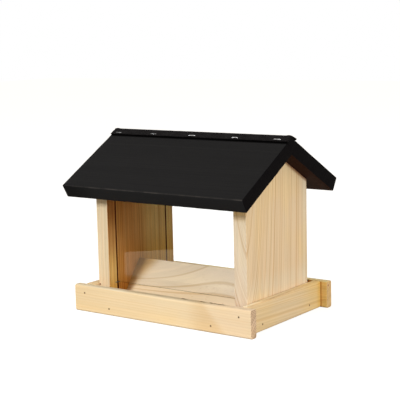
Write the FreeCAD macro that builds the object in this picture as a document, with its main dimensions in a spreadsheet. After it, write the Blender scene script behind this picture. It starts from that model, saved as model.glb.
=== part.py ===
# Bird table: a seed hopper between two panes, over a railed tray, under a pitched roof.
# The front half of the roof is a lid that turns on the strip along the ridge.
# Millimetres. +X runs along the ridge, -Y is the front and +Z is up. The origin is on the
# underside, at its middle.

import FreeCAD, Part
import os
import Sketcher

# The driving dimensions: alias, value, meaning.
DRIVING_SIZES = (
    ("boardThickness", 20.0, "floor, walls and roof, all from one stock"),
    ("railLength", 298.5, "front and back rail, end to end"),
    ("railHeight", 38.0, "rails, underside to top"),
    ("railThickness", 12.5, "rails"),
    ("railRounding", 3.0, "radius along the rails' long edges"),
    ("endRailInset", 10.25, "outer face of an end rail, in from the long rails' ends"),
    ("trayDepth", 203.0, "tray, over the front and back rails"),
    ("wallWidth", 150.0, "walls, front edge to back edge"),
    ("edgeRounding", 1.0, "radius along the sawn edges of walls and roof"),
    ("roofApexHeight", 247.3, "top of the roof boards at the ridge"),
    ("roofSlope", 29.65, "roof, degrees below the horizontal"),
    ("roofSlopeLength", 135.4, "roof board, ridge to eaves along its top face"),
    ("roofLength", 300.0, "roof, gable end to gable end"),
    ("stripFlap", 12.5, "ridge strip, width down each slope"),
    ("stripThickness", 2.2, "ridge strip"),
    ("dividerHeight", 63.7, "ridge of the seed divider"),
    ("dividerForward", 6.5, "ridge of the seed divider, in front of the middle"),
    ("dividerSlope", 52.0, "seed divider, degrees below the horizontal"),
    ("dividerThickness", 8.0, "boards of the seed divider"),
    ("grooveWidth", 3.3, "saw groove for a pane"),
    ("grooveDepth", 5.0, "saw groove for a pane"),
    ("grooveOffset", 57.3, "middle of a groove, out from the middle of the wall"),
    ("paneThickness", 2.0, "clear pane"),
    ("paneSidePlay", 0.7, "pane's edge to the bottom of its groove"),
    ("paneBottom", 38.0, "lower edge of a pane, on its stops"),
    ("paneHeight", 145.0, "clear pane"),
    ("nailRadius", 0.7, "nail shank"),
    ("nailHeadRadius", 1.2, "small nail head"),
    ("nailHeadThickness", 0.8, "small nail head"),
    ("nailHeadProud", 0.1, "nail head, out of the face that it is driven into"),
    ("nailTip", 2.5, "length of the nail's point"),
    ("railNailLength", 32.0, "nails through the rails"),
    ("wallNailLength", 40.0, "nails up through the floor, or down through the roof"),
    ("dividerPinLength", 30.0, "pins up through the floor into the divider"),
    ("stapleCrown", 11.0, "staple, width over its legs"),
    ("stapleLeg", 8.0, "staple, length of a leg"),
    ("stapleWireWidth", 1.2, "flat staple wire"),
    ("stapleWireThickness", 0.6, "flat staple wire"),
    ("stapleFromRidge", 9.3, "ridge staples, down the slope from the ridge"),
    ("lidStapleFirst", -136.5, "staples on the lid's flap, along the ridge"),
    ("lidStapleSecond", -72.5, "staples on the lid's flap, along the ridge"),
    ("lidStapleThird", -5.0, "staples on the lid's flap, along the ridge"),
    ("lidStapleFourth", 66.0, "staples on the lid's flap, along the ridge"),
    ("lidStapleFifth", 133.0, "staples on the lid's flap, along the ridge"),
    ("backStapleFirst", -128.0, "staples on the back flap, along the ridge"),
    ("backStapleSecond", -61.0, "staples on the back flap, along the ridge"),
    ("backStapleThird", 8.0, "staples on the back flap, along the ridge"),
    ("backStapleFourth", 79.0, "staples on the back flap, along the ridge"),
    ("backStapleFifth", 141.0, "staples on the back flap, along the ridge"),
    ("cornerNailOffset", 130.6, "long rails' nails into the end rails, along X"),
    ("cornerNailHeight", 27.1, "long rails' nails into the end rails"),
    ("floorNailOffset", 86.5, "long rails' nails into the floor, along X"),
    ("floorNailHeight", 9.6, "all rails' nails into the floor"),
    ("endNailOffset", 59.0, "end rails' nails into the floor, along Y"),
    ("wallNailOffset", 45.0, "nails from the floor into a wall, along Y"),
    ("roofNailUpper", 25.0, "upper roof nails, down the slope from the ridge"),
    ("roofNailLower", 65.0, "lower roof nails, down the slope from the ridge"),
    ("dividerPinOffset", 80.0, "pins into the divider, along X"),
    ("dividerPinInset", 10.0, "pins into the divider, in from its foot"),
)

# Sizes worked out from the driving ones.
HALF_LENGTH = "Sizes.railLength / 2"
END_RAIL_OUTER = "(Sizes.railLength / 2 - Sizes.endRailInset)"
WALL_OUTER = "(Sizes.railLength / 2 - Sizes.endRailInset - Sizes.railThickness)"
WALL_INNER = "(Sizes.railLength / 2 - Sizes.endRailInset - Sizes.railThickness - Sizes.boardThickness)"
WALL_MIDDLE = f"({WALL_INNER} + Sizes.boardThickness / 2)"
TRAY_FACE = "(Sizes.trayDepth / 2)"
RAIL_INNER = "(Sizes.trayDepth / 2 - Sizes.railThickness)"
FLOOR_TOP = "Sizes.boardThickness"
HALF_WALL = "(Sizes.wallWidth / 2)"
ROOF_UNDER_APEX = "(Sizes.roofApexHeight - Sizes.boardThickness / cos(Sizes.roofSlope))"
WALL_EAVES = f"({ROOF_UNDER_APEX} - Sizes.wallWidth / 2 * tan(Sizes.roofSlope))"
DIVIDER_FOOT = "((Sizes.dividerHeight - Sizes.boardThickness) / tan(Sizes.dividerSlope))"
PANE_HALF_WIDTH = f"({WALL_INNER} + Sizes.grooveDepth - Sizes.paneSidePlay)"
STOP_HEIGHT = "(Sizes.paneBottom - Sizes.stapleWireWidth / 2)"

# Turns that take a fastener from upright, head up, to the face that it is driven into.
X_AXIS = FreeCAD.Vector(1, 0, 0)
Y_AXIS = FreeCAD.Vector(0, 1, 0)
Z_AXIS = FreeCAD.Vector(0, 0, 1)
HEAD_TO_FRONT = FreeCAD.Rotation(X_AXIS, 90)
HEAD_TO_BACK = FreeCAD.Rotation(X_AXIS, -90)
HEAD_TO_LEFT = FreeCAD.Rotation(Y_AXIS, -90)
HEAD_TO_RIGHT = FreeCAD.Rotation(Y_AXIS, 90)
HEAD_DOWN = FreeCAD.Rotation(X_AXIS, 180)
CROWN_ACROSS = FreeCAD.Rotation(Z_AXIS, 90)

TOUCH = 1e-6

document = FreeCAD.newDocument("BirdTable")


# The sheet of driving dimensions.
sizes = document.addObject("Spreadsheet::Sheet", "Sizes")
for row, (alias, value, meaning) in enumerate(DRIVING_SIZES, 1):
    sizes.set(f"A{row}", alias)
    sizes.set(f"B{row}", str(value))
    sizes.setAlias(f"B{row}", alias)
    sizes.set(f"C{row}", meaning)
document.recompute()


def value_of(expression):
    return float(sizes.evalExpression(expression))


def add_body(label):
    body = document.addObject("PartDesign::Body", label)
    body.Label = label
    return body


def origin_plane(body, role):
    return next(plane for plane in body.Origin.OriginFeatures if plane.Role == role)


def rectangle(low_across, high_across, low_up, high_up):
    return (
        (low_across, low_up),
        (high_across, low_up),
        (high_across, high_up),
        (low_across, high_up),
    )


# A sketch of closed outlines, each corner held to the two expressions that place it.
def add_sketch(body, name, role, outlines):
    sketch = body.newObject("Sketcher::SketchObject", name)
    sketch.AttachmentSupport = [(origin_plane(body, role), "")]
    sketch.MapMode = "FlatFace"
    first = 0
    for corners in outlines:
        starts = [FreeCAD.Vector(value_of(across), value_of(up), 0) for across, up in corners]
        count = len(corners)
        for index, start in enumerate(starts):
            sketch.addGeometry(Part.LineSegment(start, starts[(index + 1) % count]), False)
        for index in range(count):
            following = (index + 1) % count
            sketch.addConstraint(
                Sketcher.Constraint("Coincident", first + index, 2, first + following, 1)
            )
        for index, (across, up) in enumerate(corners):
            for kind, expression in (("DistanceX", across), ("DistanceY", up)):
                hold_corner(sketch, first + index, kind, expression)
        first += count
    return sketch


def hold_corner(sketch, line, kind, expression):
    constraint = Sketcher.Constraint(kind, -1, 1, line, 1, value_of(expression))
    number = sketch.addConstraint(constraint)
    name = f"{kind}{line}"
    sketch.renameConstraint(number, name)
    sketch.setExpression(f"Constraints.{name}", expression)


def add_pad(body, name, sketch, length, symmetric=False):
    pad = body.newObject("PartDesign::Pad", name)
    pad.Profile = sketch
    if symmetric:
        pad.SideType = "Symmetric"
    pad.setExpression("Length", length)
    document.recompute()
    return pad


def add_fillet(body, name, base, radius, wanted):
    edges = [f"Edge{number}" for number, edge in enumerate(base.Shape.Edges, 1) if wanted(edge)]
    fillet = body.newObject("PartDesign::Fillet", name)
    fillet.Base = (base, edges)
    fillet.setExpression("Radius", radius)
    document.recompute()
    return fillet


def runs_along(edge, axis):
    return abs(edge.tangentAt(edge.FirstParameter).dot(axis)) > 1 - TOUCH


# A board or rail with square sides: its plan is padded upwards from low_z.
def add_board(label, plan, low_z, height):
    body = add_body(label)
    sketch = add_sketch(body, label + "_plan", "XY_Plane", [plan])
    add_pad(body, label + "_pad", sketch, height)
    body.setExpression("Placement.Base.z", low_z)
    return body


# The tray.
def add_floor():
    plan = rectangle(f"-{WALL_OUTER}", WALL_OUTER, f"-{RAIL_INNER}", RAIL_INNER)
    return add_board("floor_board", plan, "0", "Sizes.boardThickness")


def add_rail(label, plan, along):
    body = add_board(label, plan, "0", "Sizes.railHeight")
    rounding = "Sizes.railRounding"
    add_fillet(body, label + "_rounding", body.Tip, rounding, lambda edge: runs_along(edge, along))
    return body


def add_rails():
    long_end = f"({HALF_LENGTH})"
    front = rectangle(f"-{long_end}", long_end, f"-{TRAY_FACE}", f"-{RAIL_INNER}")
    back = rectangle(f"-{long_end}", long_end, RAIL_INNER, TRAY_FACE)
    left = rectangle(f"-{END_RAIL_OUTER}", f"-{WALL_OUTER}", f"-{RAIL_INNER}", RAIL_INNER)
    right = rectangle(WALL_OUTER, END_RAIL_OUTER, f"-{RAIL_INNER}", RAIL_INNER)
    return [
        add_rail("front_rail", front, X_AXIS),
        add_rail("back_rail", back, X_AXIS),
        add_rail("left_end_rail", left, Y_AXIS),
        add_rail("right_end_rail", right, Y_AXIS),
    ]


# A wall stands on the floor; its inner face has a saw groove for each pane.
def add_wall(label, low_x, inner_face, groove_bottom):
    body = add_body(label)
    gable = (
        (f"-{HALF_WALL}", FLOOR_TOP),
        (HALF_WALL, FLOOR_TOP),
        (HALF_WALL, WALL_EAVES),
        ("0", ROOF_UNDER_APEX),
        (f"-{HALF_WALL}", WALL_EAVES),
    )
    sketch = add_sketch(body, label + "_gable", "YZ_Plane", [gable])
    pad = add_pad(body, label + "_pad", sketch, "Sizes.boardThickness")
    rounding = "Sizes.edgeRounding"
    add_fillet(body, label + "_rounding", pad, rounding, lambda edge: runs_along(edge, Z_AXIS))
    near = "(Sizes.grooveOffset - Sizes.grooveWidth / 2)"
    far = "(Sizes.grooveOffset + Sizes.grooveWidth / 2)"
    grooves = [
        rectangle(inner_face, groove_bottom, f"-{far}", f"-{near}"),
        rectangle(inner_face, groove_bottom, near, far),
    ]
    whole = body.Tip.Shape.Volume
    groove_sketch = add_sketch(body, label + "_groove_plan", "XY_Plane", grooves)
    pocket = body.newObject("PartDesign::Pocket", label + "_grooves")
    pocket.Profile = groove_sketch
    pocket.Type = "ThroughAll"
    pocket.SideType = "Symmetric"
    document.recompute()
    print(f"{label}: the grooves take {whole - pocket.Shape.Volume:.0f} cubic mm")
    body.setExpression("Placement.Base.x", low_x)
    return body


def add_walls():
    left_groove_bottom = "(Sizes.boardThickness - Sizes.grooveDepth)"
    return [
        add_wall("left_wall", f"-{WALL_OUTER}", "Sizes.boardThickness", left_groove_bottom),
        add_wall("right_wall", WALL_INNER, "0", "Sizes.grooveDepth"),
    ]


# A piece with one section all along X, on the side of the ridge that the sign gives.
def add_length(label, section, length):
    body = add_body(label)
    sketch = add_sketch(body, label + "_section", "YZ_Plane", [section])
    add_pad(body, label + "_pad", sketch, length, symmetric=True)
    return body


def off_the_ridge(edge):
    return any(abs(vertex.Point.y) > TOUCH for vertex in edge.Vertexes)


def add_roof_half(label, side):
    run = "Sizes.roofSlopeLength * cos(Sizes.roofSlope)"
    fall = "Sizes.roofSlopeLength * sin(Sizes.roofSlope)"
    section = (
        ("0", "Sizes.roofApexHeight"),
        (f"{side} * ({run})", f"Sizes.roofApexHeight - {fall}"),
        (
            f"{side} * ({run} - Sizes.boardThickness * sin(Sizes.roofSlope))",
            f"Sizes.roofApexHeight - {fall} - Sizes.boardThickness * cos(Sizes.roofSlope)",
        ),
        ("0", ROOF_UNDER_APEX),
    )
    body = add_length(label, section, "Sizes.roofLength")
    add_fillet(body, label + "_rounding", body.Tip, "Sizes.edgeRounding", off_the_ridge)
    return body


def add_strip_flap(label, side):
    across = "Sizes.stripFlap * cos(Sizes.roofSlope)"
    fall = "Sizes.stripFlap * sin(Sizes.roofSlope)"
    section = (
        ("0", "Sizes.roofApexHeight"),
        (f"{side} * ({across})", f"Sizes.roofApexHeight - {fall}"),
        (
            f"{side} * ({across} + Sizes.stripThickness * sin(Sizes.roofSlope))",
            f"Sizes.roofApexHeight - {fall} + Sizes.stripThickness * cos(Sizes.roofSlope)",
        ),
        ("0", "Sizes.roofApexHeight + Sizes.stripThickness / cos(Sizes.roofSlope)"),
    )
    return add_length(label, section, "Sizes.roofLength")


# The divider is an upturned V that sends the seed out to the tray under both panes. It
# stands a little nearer to the front.
def add_divider_board(label, side):
    foot = DIVIDER_FOOT
    ridge = "-Sizes.dividerForward"
    inner_foot = f"({foot} - Sizes.dividerThickness / sin(Sizes.dividerSlope))"
    section = (
        (f"{side} * {foot} - Sizes.dividerForward", FLOOR_TOP),
        (ridge, "Sizes.dividerHeight"),
        (ridge, "Sizes.dividerHeight - Sizes.dividerThickness / cos(Sizes.dividerSlope)"),
        (f"{side} * {inner_foot} - Sizes.dividerForward", FLOOR_TOP),
    )
    return add_length(label, section, f"2 * {WALL_INNER}")


def add_pane(label, side):
    middle = f"{side} * Sizes.grooveOffset"
    plan = rectangle(
        f"-{PANE_HALF_WIDTH}",
        PANE_HALF_WIDTH,
        f"{middle} - Sizes.paneThickness / 2",
        f"{middle} + Sizes.paneThickness / 2",
    )
    return add_board(label, plan, "Sizes.paneBottom", "Sizes.paneHeight")


# One nail of each length, upright, with the top of its head at the origin.
def add_nail(label, length):
    body = add_body(label)
    half = (
        ("0", "0"),
        ("Sizes.nailHeadRadius", "0"),
        ("Sizes.nailHeadRadius", "-Sizes.nailHeadThickness / 2"),
        ("Sizes.nailRadius", "-Sizes.nailHeadThickness"),
        ("Sizes.nailRadius", f"Sizes.nailTip - {length}"),
        ("0", f"-{length}"),
    )
    sketch = add_sketch(body, label + "_half", "XZ_Plane", [half])
    turned = body.newObject("PartDesign::Revolution", label + "_turned")
    turned.Profile = sketch
    turned.ReferenceAxis = (sketch, ["V_Axis"])
    turned.Angle = 360
    document.recompute()
    return body


# One staple, its crown along X on the face at z = 0 and its legs down in the wood.
def add_staple(label):
    body = add_body(label)
    outer = "(Sizes.stapleCrown / 2)"
    inner = "(Sizes.stapleCrown / 2 - Sizes.stapleWireThickness)"
    bent_wire = (
        (f"-{outer}", "Sizes.stapleWireThickness"),
        (outer, "Sizes.stapleWireThickness"),
        (outer, "-Sizes.stapleLeg"),
        (inner, "-Sizes.stapleLeg"),
        (inner, "0"),
        (f"-{inner}", "0"),
        (f"-{inner}", "-Sizes.stapleLeg"),
        (f"-{outer}", "-Sizes.stapleLeg"),
    )
    sketch = add_sketch(body, label + "_wire", "XZ_Plane", [bent_wire])
    add_pad(body, label + "_pad", sketch, "Sizes.stapleWireWidth", symmetric=True)
    return body


# A group of like fasteners: places are (x, y, z, turn), the first three as expressions.
def add_group(label, fastener, places, tilt=None):
    copies = []
    for number, (x, y, z, turn) in enumerate(places, 1):
        copy = document.addObject("App::Link", f"{label}_{number}")
        copy.LinkedObject = fastener
        copy.Placement = FreeCAD.Placement(FreeCAD.Vector(), turn)
        copy.setExpression("Placement.Base.x", x)
        copy.setExpression("Placement.Base.y", y)
        copy.setExpression("Placement.Base.z", z)
        if tilt:
            copy.setExpression("Placement.Rotation.Angle", tilt)
        copies.append(copy)
    group = document.addObject("Part::Compound", label)
    group.Label = label
    group.Links = copies
    return group


# Nails through a long rail: into the floor's edge and into the end rails' ends.
def long_rail_places(side, turn):
    face = f"{side} * ({TRAY_FACE} + Sizes.nailHeadProud)"
    places = []
    for end in (-1, 1):
        places.append((f"{end} * Sizes.cornerNailOffset", face, "Sizes.cornerNailHeight", turn))
        places.append((f"{end} * Sizes.floorNailOffset", face, "Sizes.floorNailHeight", turn))
    return places


def end_rail_places(side, turn):
    face = f"{side} * ({END_RAIL_OUTER} + Sizes.nailHeadProud)"
    return [
        (face, f"{end} * Sizes.endNailOffset", "Sizes.floorNailHeight", turn) for end in (-1, 1)
    ]


def underside_places(x, y, forward="0"):
    return [
        (f"{end} * {x}", f"{side} * {y} - {forward}", "Sizes.nailHeadProud", HEAD_DOWN)
        for end in (-1, 1)
        for side in (-1, 1)
    ]


# A place on a slope of the roof: down it from the ridge, and out of its top face. The
# group's tilt then sets the angle of the turn.
def slope_place(x, side, down, out):
    y = f"{side} * ({down} * cos(Sizes.roofSlope) + {out} * sin(Sizes.roofSlope))"
    z = f"Sizes.roofApexHeight - {down} * sin(Sizes.roofSlope) + {out} * cos(Sizes.roofSlope)"
    return (x, y, z, HEAD_TO_FRONT)


def roof_nail_places():
    return [
        slope_place(f"{end} * {WALL_MIDDLE}", 1, down, "Sizes.nailHeadProud")
        for end in (-1, 1)
        for down in ("Sizes.roofNailUpper", "Sizes.roofNailLower")
    ]


def ridge_staple_places(row, side):
    return [
        slope_place(f"Sizes.{row}{order}", side, "Sizes.stapleFromRidge", "Sizes.stripThickness")
        for order in ("First", "Second", "Third", "Fourth", "Fifth")
    ]


# A staple across each groove, for a pane to stand on.
def pane_stop_places():
    return [
        (
            f"{end} * {WALL_INNER}",
            f"{side} * Sizes.grooveOffset",
            STOP_HEIGHT,
            turn.multiply(CROWN_ACROSS),
        )
        for end, turn in ((-1, HEAD_TO_RIGHT), (1, HEAD_TO_LEFT))
        for side in (-1, 1)
    ]


def add_fasteners():
    rail_nail = add_nail("rail_nail", "Sizes.railNailLength")
    wall_nail = add_nail("wall_nail", "Sizes.wallNailLength")
    divider_pin = add_nail("divider_pin", "Sizes.dividerPinLength")
    staple = add_staple("staple")
    pin_line = f"({DIVIDER_FOOT} - Sizes.dividerPinInset)"
    pin_places = underside_places("Sizes.dividerPinOffset", pin_line, "Sizes.dividerForward")
    lid_staples = ridge_staple_places("lidStaple", -1)
    back_staples = ridge_staple_places("backStaple", 1)
    return [
        add_group("front_rail_nails", rail_nail, long_rail_places(-1, HEAD_TO_FRONT)),
        add_group("back_rail_nails", rail_nail, long_rail_places(1, HEAD_TO_BACK)),
        add_group("left_rail_nails", rail_nail, end_rail_places(-1, HEAD_TO_LEFT)),
        add_group("right_rail_nails", rail_nail, end_rail_places(1, HEAD_TO_RIGHT)),
        add_group("wall_nails", wall_nail, underside_places(WALL_MIDDLE, "Sizes.wallNailOffset")),
        add_group("roof_nails", wall_nail, roof_nail_places(), "-Sizes.roofSlope"),
        add_group("divider_pins", divider_pin, pin_places),
        add_group("lid_staples", staple, lid_staples, "Sizes.roofSlope"),
        add_group("roof_back_staples", staple, back_staples, "-Sizes.roofSlope"),
        add_group("pane_stop_staples", staple, pane_stop_places()),
    ]


# Nothing is written unless every object is sound.
def check_document(subparts):
    for item in document.Objects:
        if "Invalid" in item.State or "Error" in item.State:
            raise SystemExit(f"{item.Label} is {item.State}")
    for subpart in subparts:
        if subpart.Shape.isNull() or not subpart.Shape.isValid():
            raise SystemExit(f"{subpart.Label} has no valid shape")


def write_steps(subparts):
    os.makedirs("parts", exist_ok=True)
    for subpart in subparts:
        subpart.Shape.exportStep(f"parts/{subpart.Label}.step")
        box = subpart.Shape.BoundBox
        solids = len(subpart.Shape.Solids)
        print(
            f"{subpart.Label}: {solids} solid(s), x {box.XMin:.1f}..{box.XMax:.1f}, "
            f"y {box.YMin:.1f}..{box.YMax:.1f}, z {box.ZMin:.1f}..{box.ZMax:.1f}"
        )


all_subparts = [add_floor(), *add_rails(), *add_walls()]
all_subparts.append(add_divider_board("divider_front_board", -1))
all_subparts.append(add_divider_board("divider_back_board", 1))
all_subparts.append(add_pane("front_pane", -1))
all_subparts.append(add_pane("back_pane", 1))
all_subparts.append(add_roof_half("roof_front_board", -1))
all_subparts.append(add_roof_half("roof_back_board", 1))
all_subparts.append(add_strip_flap("ridge_strip_front_flap", -1))
all_subparts.append(add_strip_flap("ridge_strip_back_flap", 1))
all_subparts.extend(add_fasteners())
document.recompute()
check_document(all_subparts)
write_steps(all_subparts)
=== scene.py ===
import bmesh
import bpy
import math
from mathutils import Matrix, Vector, noise


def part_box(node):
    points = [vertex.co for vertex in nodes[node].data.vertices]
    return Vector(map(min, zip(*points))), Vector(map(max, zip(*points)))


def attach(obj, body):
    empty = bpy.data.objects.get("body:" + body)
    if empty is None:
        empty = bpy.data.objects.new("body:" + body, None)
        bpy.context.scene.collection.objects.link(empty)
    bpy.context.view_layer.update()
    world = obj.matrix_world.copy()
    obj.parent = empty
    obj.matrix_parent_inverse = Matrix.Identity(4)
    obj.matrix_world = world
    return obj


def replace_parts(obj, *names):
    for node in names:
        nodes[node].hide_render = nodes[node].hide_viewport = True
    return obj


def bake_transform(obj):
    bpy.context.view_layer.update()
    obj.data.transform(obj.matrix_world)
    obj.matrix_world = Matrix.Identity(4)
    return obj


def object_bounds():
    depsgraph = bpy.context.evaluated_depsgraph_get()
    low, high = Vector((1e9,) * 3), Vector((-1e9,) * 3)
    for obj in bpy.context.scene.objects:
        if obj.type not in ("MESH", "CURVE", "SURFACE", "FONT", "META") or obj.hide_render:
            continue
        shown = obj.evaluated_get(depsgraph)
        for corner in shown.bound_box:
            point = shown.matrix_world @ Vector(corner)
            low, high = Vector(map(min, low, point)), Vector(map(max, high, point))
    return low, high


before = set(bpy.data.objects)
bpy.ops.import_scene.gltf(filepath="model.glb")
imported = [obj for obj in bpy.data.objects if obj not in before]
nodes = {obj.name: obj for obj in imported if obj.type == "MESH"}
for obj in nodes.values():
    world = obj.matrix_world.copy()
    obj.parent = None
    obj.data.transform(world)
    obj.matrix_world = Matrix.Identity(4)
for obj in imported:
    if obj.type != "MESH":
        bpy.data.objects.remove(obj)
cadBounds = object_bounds()
mm = 0.001
right = Vector((1, 0, 0))
away = Vector((0, 1, 0))
up = Vector((0, 0, 1))
print("frame loaded:", len(nodes), "nodes")


# camera and studio

camera = {
    "place": (0.916623, -1.242823, 0.387892),  # metres
    "azimuth": 36.431,  # degrees round from the front
    "elevation": 8.599,
    "roll": -1.344,
    "lens": 101.19,
    "sensor": 36.0,
}


def placeCamera():
    data = bpy.data.cameras.new("camera")
    data.lens = camera["lens"]
    data.sensor_width = camera["sensor"]
    data.clip_start = 0.05
    data.clip_end = 50.0
    seat = bpy.data.objects.new("camera", data)
    turn = Matrix.Rotation(math.radians(camera["azimuth"]), 4, "Z")
    tip = Matrix.Rotation(math.radians(90 - camera["elevation"]), 4, "X")
    roll = Matrix.Rotation(math.radians(camera["roll"]), 4, "Z")
    seat.matrix_world = Matrix.Translation(camera["place"]) @ turn @ tip @ roll
    bpy.context.scene.collection.objects.link(seat)
    bpy.context.scene.camera = seat


# material tools

def paint(red, green, blue):
    def linear(part):
        part = part / 255
        return part / 12.92 if part <= 0.04045 else ((part + 0.055) / 1.055) ** 2.4

    return (linear(red), linear(green), linear(blue), 1.0)


def openMaterial(name):
    material = bpy.data.materials.new(name)
    material.use_nodes = True
    material.node_tree.nodes.clear()
    return material, material.node_tree


def put(tree, kind, inputs=None, **settings):
    node = tree.nodes.new("ShaderNode" + kind)
    for key, value in settings.items():
        setattr(node, key, value)
    for key, value in (inputs or {}).items():
        plug(tree, value, node.inputs[key])
    return node


def plug(tree, value, socket):
    if isinstance(value, bpy.types.NodeSocket):
        tree.links.new(value, socket)
    elif value is not None:
        socket.default_value = value


def calc(tree, operation, first, second=None, third=None):
    return put(tree, "Math", {0: first, 1: second, 2: third}, operation=operation).outputs[0]


def dot(tree, vector, direction):
    node = put(tree, "VectorMath", {0: vector, 1: tuple(direction)}, operation="DOT_PRODUCT")
    return node.outputs["Value"]


def join(tree, x, y, z):
    return put(tree, "CombineXYZ", {"X": x, "Y": y, "Z": z}).outputs[0]


def remap(tree, value, low, high, newLow=0.0, newHigh=1.0, smooth=True):
    inputs = {"Value": value, "From Min": low, "From Max": high, "To Min": newLow, "To Max": newHigh}
    kind = "SMOOTHSTEP" if smooth else "LINEAR"
    return put(tree, "MapRange", inputs, interpolation_type=kind).outputs["Result"]


def cloud(tree, vector, scale, detail=2.0, output="Fac"):
    inputs = {"Vector": vector, "Scale": scale, "Detail": detail, "Roughness": 0.55}
    return put(tree, "TexNoise", inputs).outputs[output]


def tint(tree, factor, first, second, mode="MIX"):
    node = put(tree, "Mix", data_type="RGBA", blend_type=mode, clamp_factor=True)
    plug(tree, factor, node.inputs[0])
    plug(tree, first, node.inputs[6])
    plug(tree, second, node.inputs[7])
    return node.outputs[2]


def closeMaterial(tree, colour, roughness, height, settings, bump=0.3, depth=0.3):
    shader = put(tree, "BsdfPrincipled", {"Base Color": colour, "Roughness": roughness})
    for key, value in settings.items():
        shader.inputs[key].default_value = value
    if height is not None:
        relief = put(tree, "Bump", {"Strength": bump, "Distance": depth * mm, "Height": height})
        tree.links.new(relief.outputs[0], shader.inputs["Normal"])
    out = put(tree, "OutputMaterial")
    tree.links.new(shader.outputs[0], out.inputs["Surface"])


# wood

alongX = (right, away, up)  # grain, across, through
alongY = (away, right, up)
alongZ = (up, away, right)

pine = {
    "axes": alongX,
    "pith": (40.0, -60.0),  # mm, across and through the board, in the frame's own coordinates
    "drift": (0.0, 0.0),  # how the pith wanders across and through for each mm of length
    "lean": (0.0, 0.0, 40.0),  # slope, height where it starts, reach in mm
    "ringWidth": 2.6,
    "uneven": 1.1,
    "wave": (5.0, 0.02, 0.12),  # mm, scale per mm, stretch along the grain
    "ringDepth": (0.15, 0.75),  # the faintest and the boldest ring
    "boldRings": (),
    "boldWidth": 0.9,
    "early": (243, 217, 173),
    "late": (214, 171, 112),
    "warm": (240, 205, 145),
    "warmth": 0.5,
    "streak": 0.10,
    "fleck": 0.25,
    "endTint": (0.78, 0.70, 0.62, 1.0),
    "seed": 0.0,
    "nails": (),
    "nailRing": (0.8, 1.8),  # mm from a nail's middle, over which the darkening round it fades
    "swell": None,  # centre along the grain, width, height, growth across, where it is that high
    "endRing": (168, 132, 92),
    "endDepth": 0.5,
    "faces": (),  # direction of a face and the colour that multiplies it: painted light and shade on faces that look that way
    # Zones: direction, start, end in mm, the colour that multiplies the wood, and what limits it,
    # which is the direction that its face looks in, or a second direction with its start and end.
    # Some stand for shade or reflected light in the photo, not for the wood's own colour.
    "zones": (),
    "facing": (0.6, 0.85),  # how nearly a face points that way before its tint starts, and is full
    "tears": None,  # a torn arris
    "marks": (),  # small knots and holes, and dark spots painted as shadow in gaps: place in mm, radius, colour
    "groove": None,  # a saw groove: the face it is cut in, its way in, its distance from the middle
}

fibre = {
    "lateRise": (0.25, 0.86),  # shares of a ring's width over which its late wood darkens
    "lateFall": (0.90, 1.0),  # and over which it ends
    "widthChange": 0.37,  # from ring to ring
    "fine": (0.03, 1.5, 3.0),  # stretch along the grain, scale, detail
    "broad": (0.02, 0.3, 2.0),
    "dash": (0.09, 1.9, 0.0),
    "patch": (0.4, 0.022, 2.0),
    "fleckRange": (0.70, 0.80),
    "patchRange": (0.42, 0.66),
    "endFacing": (0.6, 0.85),
}

scarsAndShade = {
    # Painted shade: the inside of a saw groove, and a thin line of the face beside it, are dark red-brown.
    "groove": (84, 20, 4),
    "grooveDepth": (6.0, 8.0),  # mm over which the groove's colour ends
    "grooveHalf": (1.8, 2.1),  # mm to each side of its middle
    # Torn wood, darkened further as painted shade in the tear.
    "torn": (108, 74, 38),
    "nailDarkening": (118, 76, 38),
    "nailDarkeningShare": 0.75,
}


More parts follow.
